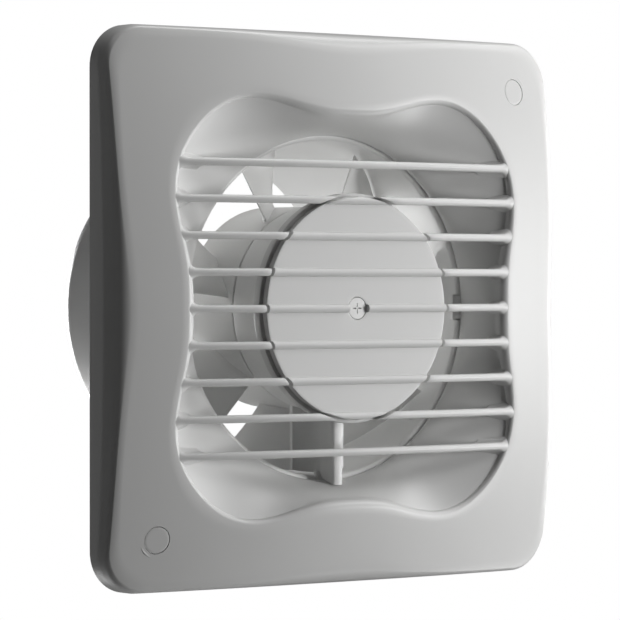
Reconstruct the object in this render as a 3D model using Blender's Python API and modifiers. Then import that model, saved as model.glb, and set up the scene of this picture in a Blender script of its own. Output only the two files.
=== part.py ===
"""Axial bathroom extractor fan for a 100 mm duct.

The fan is modelled lying on its back: X to the right, Y up the wall and Z out of
the wall into the room, with the wall plane at Z = 0 and the fan's axis on Z.
An empty then stands it up, so that its front faces -Y and +Z is up.
"""

import math

import bmesh
import bpy

MM = 0.001
GAP = 0.3 * MM                  # free space between neighbouring pieces

# Front cover
COVER_HALF = 80.0 * MM          # half the side of the square cover
COVER_CORNER = 12.0 * MM        # corner radius of its outline
COVER_REAR = 0.5 * MM           # its rim stands this far off the wall
COVER_WALL = 1.8 * MM           # moulding thickness
DOME_TOP = 21.8 * MM            # height of the domed front on the axis
DOME_CURVE = 1.177              # fall of the dome, per metre, with the radius squared
SIDE_SHARE = 0.585              # part of the edge height that is upright
FACET_SHARE = 0.87              # part of the edge height where the leaning facet ends
EDGE_INSET = 1.65 * MM          # how far the rounded edge reaches inwards at the corners
EDGE_INSET_MID = 3.0 * MM       # and how much further in the middle of a side
EDGE_MID_LENGTH = 26.0 * MM     # half length of that wider part

# Opening, funnel and throat of the cover
OPENING_MEAN = 66.07 * MM       # mean radius of the wavy opening
OPENING_WAVE = 8.75 * MM        # its four lobes and four waists
LIP_WAIST = 2.8 * MM            # width of the rounded lip at a waist
LIP_LOBE = 1.4 * MM             # and at a lobe
THROAT_RADIUS = 50.3 * MM
THROAT_HEIGHT = 4.6 * MM
COVER_SECTIONS = 72             # sections around the cover

# Louvre bars, hub plate and centre disc
BAR_PITCH = 10.38 * MM
BAR_WIDTH = 2.3 * MM
BAR_DEPTH = 5.0 * MM
HUB_RADIUS = 33.3 * MM
HUB_FRONT = 17.0 * MM
HUB_REAR = 14.2 * MM
DISC_RADIUS = 32.2 * MM
DISC_FRONT = 19.3 * MM
RIDGE_RADIUS = 1.2 * MM
MIDDLE_BARS = 3                 # bars on each side of the centre bar that cross the hub

# Cover screws and their caps, on one diagonal
SCREW_OFFSET = 64.74 * MM
POST_RADIUS = 5.2 * MM
POST_BORE = 4.0 * MM
POST_FLOOR = 4.2 * MM
CAP_RADIUS = 3.7 * MM

# Rear housing
PLATE_HALF = 74.0 * MM
PLATE_CORNER = 9.0 * MM
PLATE_THICKNESS = 2.5 * MM
SPIGOT_LENGTH = 61.0 * MM       # behind the wall plane
SPIGOT_END_RADIUS = 49.0 * MM   # outside radius at the rear end
SPIGOT_ROOT_RADIUS = 50.6 * MM  # outside radius at the wall plane
SPIGOT_WALL = 1.6 * MM
COLLAR_RADIUS = 52.4 * MM
COLLAR_FRONT = 4.2 * MM
FIXING_X, FIXING_Y = 34.0 * MM, 68.0 * MM
FIXING_RADIUS = 2.3 * MM
SEAL_INNER, SEAL_OUTER = 60.4 * MM, 64.6 * MM

# Motor bracket
CUP_RADIUS = 30.0 * MM
CUP_WALL = 1.8 * MM
CUP_FRONT = 12.6 * MM
CUP_REAR = -0.5 * MM
STRUT_NOSE = 1.9 * MM           # half width of the strut's front edge
STRUT_FOOT = 9.3 * MM           # half width of its flared rear
STRUT_FRONT = 10.0 * MM
STRUT_REAR = -1.2 * MM
RIB_HALF = 1.0 * MM             # half width of the two side ribs

# Motor
CORE_RADIUS = 26.0 * MM
CORE_INNER = 22.5 * MM
CORE_FRONT, CORE_REAR = 5.0 * MM, -7.0 * MM
BORE_RADIUS = 13.3 * MM
SHOE_RADIUS = 15.3 * MM
POLE_HALF = 5.0 * MM
SHOE_GAP_HALF = 7.5 * MM       # half the gap between the two pole shoes
MOTOR_SCREW_X = 22.4 * MM
SHAFT_RADIUS = 2.0 * MM
ROTOR_RADIUS = 12.9 * MM

# Impeller
BLADES = 7
IMPELLER_RADIUS = 47.9 * MM
IMPELLER_HUB = 29.8 * MM
IMPELLER_FRONT = -1.4 * MM
IMPELLER_FLOOR = -17.8 * MM     # rear face of the web that joins the hub to the shaft
IMPELLER_REAR = -25.0 * MM
BLADE_FRONT = -2.6 * MM
BLADE_REAR = -21.0 * MM
BLADE_SWEEP_ROOT = math.radians(24)     # turn of a blade from its front edge to its rear edge, at the hub
BLADE_SWEEP_TIP = math.radians(32.5)    # and at its tip
BLADE_START = math.radians(122.5)
BLADE_THICKNESS = 1.3 * MM
HUB_STEPS_PER_BLADE = 10

# Mains connection, in the lower right corner
BLOCK_X, BLOCK_Y = 66.0 * MM, -61.5 * MM
GROMMET_X, GROMMET_Y = 46.0 * MM, -69.0 * MM
CLAMP_X, CLAMP_Y = 56.5 * MM, -70.0 * MM


# ---------------------------------------------------------------- scene and helpers

def clear_scene():
    for obj in list(bpy.data.objects):
        bpy.data.objects.remove(obj, do_unlink=True)


def new_collection(name):
    collection = bpy.data.collections.new(name)
    bpy.context.scene.collection.children.link(collection)
    return collection


def new_material(name, color, roughness, metallic=0.0):
    material = bpy.data.materials.new(name)
    material.use_nodes = True
    shader = material.node_tree.nodes["Principled BSDF"]
    shader.inputs["Base Color"].default_value = (*color, 1.0)
    shader.inputs["Roughness"].default_value = roughness
    shader.inputs["Metallic"].default_value = metallic
    return material


clear_scene()
PARTS = new_collection("bathroom_extractor_fan")
CUTTERS = new_collection("cutters")
WALL_FRAME = bpy.data.objects.new("wall_frame", None)
WALL_FRAME.rotation_euler = (math.pi / 2, 0.0, 0.0)
PARTS.objects.link(WALL_FRAME)

FAN_WHITE = ((0.80, 0.80, 0.80), 0.38)
LOOKS = {
    "white_abs": (*FAN_WHITE, 0.0),
    "grey_abs": ((0.70, 0.70, 0.70), 0.45, 0.0),
    "zinc_steel": ((0.55, 0.56, 0.58), 0.35, 1.0),
    "electrical_steel": ((0.30, 0.31, 0.33), 0.45, 1.0),
    "copper": ((0.62, 0.28, 0.14), 0.35, 1.0),
    "bronze": ((0.45, 0.33, 0.18), 0.5, 1.0),
    "cast_aluminium": ((0.62, 0.63, 0.65), 0.5, 1.0),
    "nylon": ((0.68, 0.66, 0.60), 0.5, 0.0),
    "black_rubber": ((0.03, 0.03, 0.03), 0.7, 0.0),
    "foam": ((0.09, 0.09, 0.09), 0.95, 0.0),
}
MATERIALS = {name: new_material(name, *look) for name, look in LOOKS.items()}


def place(obj, look, at=(0.0, 0.0)):
    """Adds a finished sub-part to the fan, standing on the wall frame."""
    PARTS.objects.link(obj)
    obj.parent = WALL_FRAME
    obj.location = (at[0], at[1], 0.0)
    obj.data.materials.append(MATERIALS[look])
    if obj.type == "MESH" and obj.data.polygons:
        obj.data.shade_smooth()
        obj.data.set_sharp_from_angle(angle=math.radians(35))
    return obj


def mesh_from(bm, name):
    bmesh.ops.recalc_face_normals(bm, faces=bm.faces)
    mesh = bpy.data.meshes.new(name)
    bm.to_mesh(mesh)
    bm.free()
    return mesh


def cylinder_mesh(name, radius, low, high, segments=32, at=(0.0, 0.0), top=None):
    """A cylinder on Z, or a cone where the top radius differs."""
    bm = bmesh.new()
    bmesh.ops.create_cone(bm, cap_ends=True, segments=segments, radius1=radius,
                          radius2=radius if top is None else top, depth=high - low)
    bmesh.ops.translate(bm, verts=bm.verts, vec=(at[0], at[1], (low + high) / 2))
    return mesh_from(bm, name)


def box_mesh(name, low, high):
    bm = bmesh.new()
    bmesh.ops.create_cube(bm, size=1.0)
    size = [high[i] - low[i] for i in range(3)]
    middle = [(high[i] + low[i]) / 2 for i in range(3)]
    bmesh.ops.scale(bm, verts=bm.verts, vec=size)
    bmesh.ops.translate(bm, verts=bm.verts, vec=middle)
    return mesh_from(bm, name)


def prism_mesh(name, outline, low, high):
    """A flat outline in X and Y drawn out along Z."""
    bm = bmesh.new()
    face = bm.faces.new([bm.verts.new((x, y, low)) for x, y in outline])
    drawn = bmesh.ops.extrude_face_region(bm, geom=[face])["geom"]
    moved = [item for item in drawn if isinstance(item, bmesh.types.BMVert)]
    bmesh.ops.translate(bm, verts=moved, vec=(0.0, 0.0, high - low))
    return mesh_from(bm, name)


def turned(name, profile, segments=48, closed=False):
    """A profile of (radius, height), read down its outer side, turned about Z."""
    bm = bmesh.new()
    verts = [bm.verts.new((radius, 0.0, height)) for radius, height in profile]
    for first, second in zip(verts, verts[1:]):
        bm.edges.new((first, second))
    if closed:
        bm.edges.new((verts[-1], verts[0]))
    mesh = bpy.data.meshes.new(name)
    bm.to_mesh(mesh)
    bm.free()
    obj = bpy.data.objects.new(name, mesh)
    screw = obj.modifiers.new("turn", "SCREW")
    screw.steps = segments
    screw.render_steps = segments
    screw.use_merge_vertices = True
    screw.merge_threshold = 1e-5
    screw.use_smooth_shade = True
    return obj


def tube(name, outer, inner, low, high, segments=32):
    profile = [(outer, high), (outer, low), (inner, low), (inner, high)]
    return turned(name, profile, segments, closed=True)


def shape(name, mesh):
    return bpy.data.objects.new(name, mesh)


def combine(obj, operation, tool):
    """Boolean of a piece with a tool, which joins the cutters."""
    if tool.name not in CUTTERS.objects:
        CUTTERS.objects.link(tool)
        tool.parent = WALL_FRAME
        tool.hide_render = True
        tool.display_type = "WIRE"
    modifier = obj.modifiers.new(operation.lower(), "BOOLEAN")
    modifier.operation = operation
    modifier.solver = "EXACT"
    modifier.object = tool
    return tool


def cut(obj, tool):
    return combine(obj, "DIFFERENCE", tool)


def join(obj, tool):
    return combine(obj, "UNION", tool)


def drill(obj, radius, low, high, at=(0.0, 0.0), segments=24):
    return cut(obj, shape("drill", cylinder_mesh("drill", radius, low, high, segments, at)))


# ---------------------------------------------------------------- forms of the cover

def dome(x, y):
    return DOME_TOP - DOME_CURVE * (x * x + y * y)


def rounded_square(angle, half, corner):
    """Radius of a rounded square's outline at this angle."""
    c, s = abs(math.cos(angle)), abs(math.sin(angle))
    straight = half / max(c, s)
    centre = half - corner
    if straight * min(c, s) <= centre:
        return straight
    along = centre * (c + s)
    return along + math.sqrt(along * along - 2 * centre * centre + corner * corner)


def opening(angle):
    return OPENING_MEAN - OPENING_WAVE * math.cos(4 * angle)


def lip_width(angle):
    lobe = (1 - math.cos(4 * angle)) / 2
    return LIP_WAIST + (LIP_LOBE - LIP_WAIST) * lobe


def edge_inset(angle, radius):
    """How far the rounded edge of the cover reaches in from its side wall."""
    along = radius * min(abs(math.cos(angle)), abs(math.sin(angle)))
    return EDGE_INSET + EDGE_INSET_MID * math.exp(-((along / EDGE_MID_LENGTH) ** 2))


def funnel(angle, share):
    """Radius and height on the funnel, from the lip at 0 to the throat at 1."""
    start = opening(angle) - lip_width(angle)
    top = dome(start, 0.0) - lip_width(angle)
    turn = THROAT_HEIGHT + 0.35 * (top - THROAT_HEIGHT)
    a, b, c = (1 - share) ** 2, 2 * share * (1 - share), share ** 2
    return (a * start + b * THROAT_RADIUS + c * THROAT_RADIUS,
            a * top + b * turn + c * THROAT_HEIGHT)


def funnel_radius(angle, height):
    """Radius of the funnel where it passes this height."""
    if height <= THROAT_HEIGHT:
        return THROAT_RADIUS
    steps = 60
    for step in range(steps + 1):
        radius, level = funnel(angle, 1 - step / steps)
        if level >= height:
            return radius
    return opening(angle)


def cover_outside(angle):
    """The cover's outer skin at one angle, from the wall round to the throat, as (radius, height)."""
    side = rounded_square(angle, COVER_HALF, COVER_CORNER)
    edge = dome(side, 0.0)
    inset = edge_inset(angle, side)
    lip = opening(angle)
    width = lip_width(angle)
    inner = side - inset
    points = [
        (side, COVER_REAR),
        (side, SIDE_SHARE * edge),
        (side - 0.25 * inset, FACET_SHARE * edge),
        (side - 0.5 * inset, 0.5 * (FACET_SHARE * edge + dome(inner, 0.0)) + 0.3 * MM),
        (inner, dome(inner, 0.0)),
    ]
    for share in (0.35, 0.7):
        radius = inner + (lip - inner) * share
        points.append((radius, dome(radius, 0.0)))
    points.append((lip, dome(lip, 0.0)))
    points.append((lip - 0.65 * width, dome(lip, 0.0) - 0.3 * width))
    points += [funnel(angle, share) for share in (0.0, 0.25, 0.5, 0.75, 1.0)]
    return points


def cover_inside(angle):
    """The cover's inner skin, from the throat back to the wall."""
    side = rounded_square(angle, COVER_HALF - COVER_WALL, COVER_CORNER - COVER_WALL)
    outer = rounded_square(angle, COVER_HALF, COVER_CORNER)
    inset = edge_inset(angle, outer)
    lip = opening(angle)
    slope_in = 0.75 * COVER_WALL
    points = [(THROAT_RADIUS + COVER_WALL, THROAT_HEIGHT)]
    for share in (0.75, 0.5, 0.25):
        radius, height = funnel(angle, share)
        points.append((radius + slope_in, height - slope_in))
    # Near the throat the funnel is upright, so there the wall is set off sideways only.
    points[1] = (points[1][0] + 0.25 * COVER_WALL, points[1][1] + 0.4 * slope_in)
    under = lip + 0.4 * COVER_WALL
    points.append((under, dome(under, 0.0) - COVER_WALL))
    inner = outer - inset - 0.6 * COVER_WALL
    points.append(((under + inner) / 2, dome((under + inner) / 2, 0.0) - COVER_WALL))
    points.append((inner, dome(inner, 0.0) - COVER_WALL))
    points.append((side, SIDE_SHARE * dome(outer, 0.0)))
    points.append((side, COVER_REAR))
    return points


def section_angles():
    """Angles around the cover, closer together towards its corners."""
    for i in range(COVER_SECTIONS):
        turn = 2 * math.pi * i / COVER_SECTIONS
        yield turn + 0.13 * math.sin(4 * turn)


def loft_ring(name, sections):
    """A closed section drawn through every angle of a ring and back to the first."""
    bm = bmesh.new()
    rows = []
    for angle, section in sections:
        c, s = math.cos(angle), math.sin(angle)
        rows.append([bm.verts.new((r * c, r * s, z)) for r, z in section])
    count = len(rows[0])
    for row, following in zip(rows, rows[1:] + rows[:1]):
        for i in range(count):
            j = (i + 1) % count
            bm.faces.new((row[i], row[j], following[j], following[i]))
    return mesh_from(bm, name)


# ---------------------------------------------------------------- front cover group

def front_cover():
    sections = [(a, cover_outside(a) + cover_inside(a)) for a in section_angles()]
    cover = shape("front_cover", loft_ring("front_cover", sections))
    for sign in (1, -1):
        at = (sign * SCREW_OFFSET, sign * SCREW_OFFSET)
        roof = dome(*at) - 0.5 * COVER_WALL
        post_foot = PLATE_THICKNESS + GAP
        join(cover, shape("post", cylinder_mesh("post", POST_RADIUS, post_foot, roof, 24, at)))
        drill(cover, POST_BORE, POST_FLOOR, DOME_TOP, at)
        drill(cover, 1.8 * MM, 0.0, DOME_TOP, at, 16)
    return place(cover, "white_abs")


def bar_reach(level, depth):
    """Half length of the bar here, this deep under the dome: it stops just short of the funnel."""
    step = 0.2 * MM
    reach = 0.0
    while True:
        x = reach + step
        angle = math.atan2(level, x)
        if math.hypot(x, level) > funnel_radius(angle, dome(x, level) - depth) - 3 * GAP:
            return reach
        reach = x


def bar_mesh(name, level):
    """One louvre bar along X at this height on the wall, its front on the dome, with a rounded nose."""
    half = BAR_WIDTH / 2
    outline = [(-0.8 * half, BAR_DEPTH), (0.8 * half, BAR_DEPTH), (half, half), (0.7 * half, 0.3 * half),
               (0.0, 0.0), (-0.7 * half, 0.3 * half), (-half, half)]
    reaches = [bar_reach(level, max(depth, 2.8 * MM)) for _, depth in outline]
    stations = 9
    bm = bmesh.new()
    rows = []
    for i in range(stations):
        share = 2 * i / (stations - 1) - 1
        rows.append([bm.verts.new((reach * share, level + y, dome(reach * share, level) - depth))
                     for (y, depth), reach in zip(outline, reaches)])
    for row, following in zip(rows, rows[1:]):
        for i in range(len(row)):
            j = (i + 1) % len(row)
            bm.faces.new((row[i], row[j], following[j], following[i]))
    bm.faces.new(rows[0])
    bm.faces.new(rows[-1])
    return mesh_from(bm, name)


def louvre_grille():
    hub = tube("louvre_grille", HUB_RADIUS, 1.8 * MM, HUB_REAR, HUB_FRONT, 64)
    for k in range(-MIDDLE_BARS, MIDDLE_BARS + 1):
        level = k * BAR_PITCH
        join(hub, shape("bar", bar_mesh("bar", level)))
    drill(hub, DISC_RADIUS + 0.7 * MM, HUB_FRONT, DOME_TOP + 1 * MM, segments=64)
    drill(hub, 1.8 * MM, 0.0, DOME_TOP, segments=24)
    place(hub, "white_abs")
    for name, k in (("louvre_bar_top", MIDDLE_BARS + 1), ("louvre_bar_bottom", -MIDDLE_BARS - 1)):
        level = k * BAR_PITCH
        place(shape(name, bar_mesh(name, level)), "white_abs")


def centre_disc():
    rear = HUB_FRONT + GAP
    bevel = 0.25 * MM
    disc = turned("centre_disc", [
        (0.0, DISC_FRONT), (DISC_RADIUS - bevel, DISC_FRONT), (DISC_RADIUS, DISC_FRONT - bevel),
        (DISC_RADIUS, rear), (0.0, rear)], 64)
    for k in range(-MIDDLE_BARS, MIDDLE_BARS + 1):
        level = k * BAR_PITCH
        half = math.sqrt(DISC_RADIUS ** 2 - level ** 2) + 1 * MM
        ridge = cylinder_mesh("ridge", RIDGE_RADIUS, -half, half, 12)
        tool = shape("ridge", ridge)
        tool.rotation_euler = (0.0, math.pi / 2, 0.0)
        tool.location = (0.0, level, DISC_FRONT + 0.1 * MM)
        join(disc, tool)
    limit = cylinder_mesh("ridge_limit", DISC_RADIUS + 0.1 * MM, 0.0, DOME_TOP + 5 * MM, 64)
    combine(disc, "INTERSECT", shape("ridge_limit", limit))
    drill(disc, 3.3 * MM, DISC_FRONT - 1.2 * MM, DOME_TOP, segments=32)
    drill(disc, 1.8 * MM, 0.0, DOME_TOP)
    place(disc, "white_abs")


def cross_screw(name, at, head_radius, head_top, head_height, shank_radius, tip, look="zinc_steel"):
    """A screw pointing into the wall, with a cross in its head."""
    head_rear = head_top - head_height
    screw = turned(name, [
        (0.0, head_top), (0.8 * head_radius, head_top), (head_radius, head_top - 0.35 * head_height),
        (head_radius, head_rear), (shank_radius, head_rear),
        (shank_radius, tip + shank_radius), (0.35 * shank_radius, tip), (0.0, tip)], 16)
    slot = 0.12 * head_radius
    reach = 0.55 * head_radius
    for long_x, long_y in ((reach, slot), (slot, reach)):
        low = (at[0] - long_x, at[1] - long_y, head_top - 0.5 * head_height)
        high = (at[0] + long_x, at[1] + long_y, head_top + 1 * MM)
        cut(screw, shape("cross", box_mesh("cross", low, high)))
    return place(screw, look, at)


def cover_fasteners():
    cross_screw("centre_screw", (0.0, 0.0), 3.0 * MM, DISC_FRONT - 0.1 * MM, 0.8 * MM,
                1.5 * MM, 10.7 * MM)
    for name, sign in (("upper", 1), ("lower", -1)):
        at = (sign * SCREW_OFFSET, sign * SCREW_OFFSET)
        cross_screw("cover_screw_" + name, at, 3.0 * MM, POST_FLOOR + GAP + 2.0 * MM,
                    2.0 * MM, 1.5 * MM, 0.7 * MM)
        cap_top = dome(*at) + 0.05 * MM
        cap = turned("screw_cap_" + name, [
            (0.0, cap_top), (0.7 * CAP_RADIUS, cap_top - 0.1 * MM), (CAP_RADIUS, cap_top - 0.35 * MM),
            (CAP_RADIUS, cap_top - 2.6 * MM), (CAP_RADIUS - 0.9 * MM, cap_top - 2.6 * MM),
            (CAP_RADIUS - 0.9 * MM, cap_top - 1.2 * MM), (0.0, cap_top - 1.2 * MM)], 24)
        place(cap, "white_abs", at)


# ---------------------------------------------------------------- rear housing group

def rounded_outline(half, corner, per_corner=6):
    points = []
    for quarter in range(4):
        start = quarter * math.pi / 2
        for step in range(per_corner + 1):
            angle = start + step / per_corner * math.pi / 2
            c, s = math.cos(start + math.pi / 4), math.sin(start + math.pi / 4)
            centre = ((half - corner) * math.copysign(1, c), (half - corner) * math.copysign(1, s))
            points.append((centre[0] + corner * math.cos(angle), centre[1] + corner * math.sin(angle)))
    return points


def rear_housing():
    plate = prism_mesh("rear_housing", rounded_outline(PLATE_HALF, PLATE_CORNER), 0.0, PLATE_THICKNESS)
    housing = shape("rear_housing", plate)
    bore_root = SPIGOT_ROOT_RADIUS - SPIGOT_WALL
    bore_end = SPIGOT_END_RADIUS - SPIGOT_WALL
    cut(housing, shape("duct_hole", cylinder_mesh("duct_hole", bore_root + 0.5 * MM, -1 * MM, 5 * MM, 72)))
    duct = turned("duct", [
        (COLLAR_RADIUS, COLLAR_FRONT), (COLLAR_RADIUS, 1.0 * MM), (SPIGOT_ROOT_RADIUS, 1.0 * MM),
        (SPIGOT_ROOT_RADIUS, 0.0), (SPIGOT_END_RADIUS, 1.5 * MM - SPIGOT_LENGTH),
        (SPIGOT_END_RADIUS - 0.6 * MM, -SPIGOT_LENGTH), (bore_end, -SPIGOT_LENGTH),
        (bore_root, 0.0), (bore_root, COLLAR_FRONT - 0.8 * MM), (bore_root + 0.8 * MM, COLLAR_FRONT)],
        72, closed=True)
    join(housing, duct)
    recess = tube("seal_recess", SEAL_OUTER + GAP, SEAL_INNER - GAP, -1 * MM, 1.5 * MM, 72)
    cut(housing, recess)
    for x in (-FIXING_X, FIXING_X):
        for y in (-FIXING_Y, FIXING_Y):
            drill(housing, FIXING_RADIUS, -1 * MM, 5 * MM, (x, y), 16)
    for sign in (1, -1):
        drill(housing, 1.8 * MM, 0.4 * MM, 5 * MM, (sign * SCREW_OFFSET, sign * SCREW_OFFSET), 16)
    drill(housing, 4.8 * MM, -1 * MM, 5 * MM, (GROMMET_X, GROMMET_Y), 24)
    for dy in (-4.8 * MM, 4.8 * MM):
        drill(housing, 1.3 * MM, 0.4 * MM, 5 * MM, (CLAMP_X, CLAMP_Y + dy), 12)
    for name, x, y, angle in bracket_feet():
        foot_notch = box_mesh("foot_notch", (-3.9 * MM, 40 * MM, 2.5 * MM), (3.9 * MM, 56 * MM, 6 * MM))
        notch = shape("foot_notch", foot_notch)
        notch.rotation_euler = (0.0, 0.0, angle - math.pi / 2)
        cut(housing, notch)
        drill(housing, 1.3 * MM, 0.5 * MM, 5 * MM, (x, y), 12)
    place(housing, "white_abs")


def wall_seal():
    place(tube("wall_seal", SEAL_OUTER, SEAL_INNER, 0.0, 1.1 * MM, 72), "foam")


# ---------------------------------------------------------------- motor bracket

FOOT_SCREW_RADIUS = 56.5 * MM


def bracket_feet():
    """Name, screw place and angle of the bracket's three feet."""
    for name, degrees in (("right", 0), ("left", 180), ("bottom", 270)):
        angle = math.radians(degrees)
        yield name, FOOT_SCREW_RADIUS * math.cos(angle), FOOT_SCREW_RADIUS * math.sin(angle), angle


def strut_solid():
    """The strut below the motor: a narrow nose that flares in hollow curves to a wide rear."""
    flare = 6
    side = []
    for step in range(flare + 1):
        turn = step / flare * math.pi / 2
        side.append((STRUT_FOOT - (STRUT_FOOT - STRUT_NOSE) * math.sin(turn),
                     0.4 * MM + 5.6 * MM * (1 - math.cos(turn))))
    nose = [(STRUT_NOSE, STRUT_FRONT - 1.2 * MM), (0.6 * STRUT_NOSE, STRUT_FRONT - 0.2 * MM),
            (0.0, STRUT_FRONT)]
    right = [(STRUT_FOOT, STRUT_REAR)] + side + nose
    outline = right + [(-x, z) for x, z in reversed(right[:-1])]
    mesh = prism_mesh("strut", [(x, z) for x, z in outline], 0.0, 60 * MM)
    # Drawn along Z with the outline in X and Y; turned so that it runs down the wall.
    bm = bmesh.new()
    bm.from_mesh(mesh)
    for vert in bm.verts:
        x, z, along = vert.co
        vert.co = (x, -along, z)
    bpy.data.meshes.remove(mesh)
    return shape("strut", mesh_from(bm, "strut"))


def strut_limit():
    """What the strut may fill: it stops short of the funnel and of the duct wall."""
    clear = 0.5 * MM
    down = math.radians(270)
    duct = SPIGOT_ROOT_RADIUS - SPIGOT_WALL - clear
    profile = [(funnel_radius(down, STRUT_FRONT + 2 * MM) - clear, STRUT_FRONT + 2 * MM)]
    for height in (9.0 * MM, 7.5 * MM, 6.0 * MM):
        profile.append((funnel_radius(down, height) - clear, height))
    profile += [(THROAT_RADIUS - clear, THROAT_HEIGHT), (duct, THROAT_HEIGHT - 0.6 * MM),
                (duct, STRUT_REAR - 1 * MM), (CUP_RADIUS - 1.0 * MM, STRUT_REAR - 1 * MM),
                (CUP_RADIUS - 1.0 * MM, STRUT_FRONT + 2 * MM)]
    return turned("strut_limit", profile, 72, closed=True)


def motor_bracket():
    inner = CUP_RADIUS - CUP_WALL
    cup = turned("motor_bracket", [
        (1.6 * MM, CUP_FRONT), (CUP_RADIUS - 2.5 * MM, CUP_FRONT),
        (CUP_RADIUS - 0.8 * MM, CUP_FRONT - 0.8 * MM), (CUP_RADIUS, CUP_FRONT - 2.5 * MM),
        (CUP_RADIUS, CUP_REAR), (inner, CUP_REAR),
        (inner, CUP_FRONT - 2.0 * MM), (1.6 * MM, CUP_FRONT - 2.0 * MM)], 64, closed=True)
    strut = strut_solid()
    combine(strut, "INTERSECT", strut_limit())
    join(cup, strut)
    for name, x, y, angle in bracket_feet():
        rib_low = (CUP_RADIUS - 1.0 * MM, -RIB_HALF, STRUT_REAR)
        rib_high = (48.3 * MM, RIB_HALF, 6.5 * MM)
        foot_low = (47.5 * MM, -3.5 * MM, PLATE_THICKNESS + GAP)
        foot_high = (60.0 * MM, 3.5 * MM, 4.1 * MM)
        for low, high in ((rib_low, rib_high), (foot_low, foot_high)):
            piece = shape("rib", box_mesh("rib", low, high))
            piece.rotation_euler = (0.0, 0.0, angle)
            join(cup, piece)
        drill(cup, 1.6 * MM, 0.0, 6 * MM, (x, y), 16)
    for sign in (1, -1):
        drill(cup, 1.8 * MM, 0.0, CUP_FRONT - 0.7 * MM, (sign * MOTOR_SCREW_X, 0.0), 16)
    # Wire way: an open channel up the rear of the strut and a notch in the cup.
    channel = box_mesh("wire_way", (-3.0 * MM, -60 * MM, STRUT_REAR - 1 * MM), (3.0 * MM, -27 * MM, 2.4 * MM))
    cut(cup, shape("wire_way", channel))
    notch = box_mesh("wire_notch", (-3.0 * MM, -31 * MM, -2 * MM), (3.0 * MM, -27 * MM, 8.5 * MM))
    cut(cup, shape("wire_notch", notch))
    place(cup, "white_abs")


def bracket_screws():
    for name, x, y, angle in bracket_feet():
        cross_screw("bracket_screw_" + name, (x, y), 2.4 * MM, 6.0 * MM, 1.6 * MM, 1.0 * MM, 0.9 * MM)


# ---------------------------------------------------------------- motor

def arc(radius, start, end, steps, centre=(0.0, 0.0)):
    """Points on an arc from one angle to the other, both in degrees."""
    points = []
    for step in range(steps + 1):
        angle = math.radians(start + (end - start) * step / steps)
        points.append((centre[0] + radius * math.cos(angle), centre[1] + radius * math.sin(angle)))
    return points


def winding_window(sign):
    """Outline of the window beside the two poles: ring, ear, poles, shoes and the gap between them."""
    pole_top = math.degrees(math.acos(POLE_HALF / CORE_INNER))
    ear = 3.8 * MM
    meet = math.degrees(math.acos((CORE_INNER ** 2 + MOTOR_SCREW_X ** 2 - ear ** 2)
                                  / (2 * CORE_INNER * MOTOR_SCREW_X)))
    shoe_side = math.degrees(math.acos(POLE_HALF / SHOE_RADIUS))
    shoe_tip = math.degrees(math.asin(SHOE_GAP_HALF / SHOE_RADIUS))
    upper = arc(CORE_INNER, pole_top, meet, 8)[:-1]
    lower = [(x, -y) for x, y in reversed(upper)]
    bump = arc(ear, 94, 266, 8, (MOTOR_SCREW_X, 0.0))
    tip = arc(SHOE_RADIUS, shoe_side, shoe_tip, 6)
    inside = (BORE_RADIUS - 3 * MM, SHOE_GAP_HALF)
    outline = upper + bump + lower + [(x, -y) for x, y in tip]
    outline += [(inside[0], -inside[1]), inside] + tip[::-1]
    return [(sign * x, y) for x, y in outline]


def stator_core():
    core = shape("stator_core", cylinder_mesh("stator_core", CORE_RADIUS, CORE_REAR, CORE_FRONT, 64))
    for sign in (1, -1):
        window = prism_mesh("window", winding_window(sign), CORE_REAR - 2 * MM, CORE_FRONT + 2 * MM)
        cut(core, shape("window", window))
        drill(core, 1.8 * MM, -20 * MM, 20 * MM, (sign * MOTOR_SCREW_X, 0.0), 16)
    drill(core, BORE_RADIUS, -20 * MM, 20 * MM, segments=48)
    place(core, "electrical_steel")


def frame_mesh(name, inner, outer, low, high):
    """A rectangular winding with rounded outer corners around a pole, between two distances from the axis."""
    bm = bmesh.new()
    rows = []
    middle = (CORE_FRONT + CORE_REAR) / 2
    for level in (low, high):
        for half_x, half_z, corner in (outer, inner):
            ring = []
            for quarter in range(4):
                for step in range(4):
                    angle = (quarter + step / 3) * math.pi / 2
                    mid = (quarter + 0.5) * math.pi / 2
                    cx = math.copysign(half_x - corner, math.cos(mid))
                    cz = math.copysign(half_z - corner, math.sin(mid))
                    ring.append(bm.verts.new((cx + corner * math.cos(angle), level,
                                              middle + cz + corner * math.sin(angle))))
            rows.append(ring)
    loop = [rows[0], rows[1], rows[3], rows[2]]
    count = len(rows[0])
    for row, following in zip(loop, loop[1:] + loop[:1]):
        for i in range(count):
            j = (i + 1) % count
            bm.faces.new((row[i], row[j], following[j], following[i]))
    return mesh_from(bm, name)


def coils():
    half_z = (CORE_FRONT - CORE_REAR) / 2
    bobbin_inner = (POLE_HALF + GAP, half_z + GAP, 0.3 * MM)
    bobbin_outer = (POLE_HALF + 1.1 * MM, half_z + 1.1 * MM, 0.8 * MM)
    coil_inner = (POLE_HALF + 1.4 * MM, half_z + 1.4 * MM, 0.9 * MM)
    coil_outer = (POLE_HALF + 5.0 * MM, half_z + 4.9 * MM, 3.0 * MM)
    for name, sign in (("upper", 1), ("lower", -1)):
        for piece, inner, outer, near, far, look in (
                ("bobbin_", bobbin_inner, bobbin_outer, 15.8, 21.6, "nylon"),
                ("coil_", coil_inner, coil_outer, 16.2, 19.4, "copper")):
            low, high = sorted((sign * near * MM, sign * far * MM))
            mesh = frame_mesh(piece + name, inner, outer, low, high)
            place(shape(piece + name, mesh), look)


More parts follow.
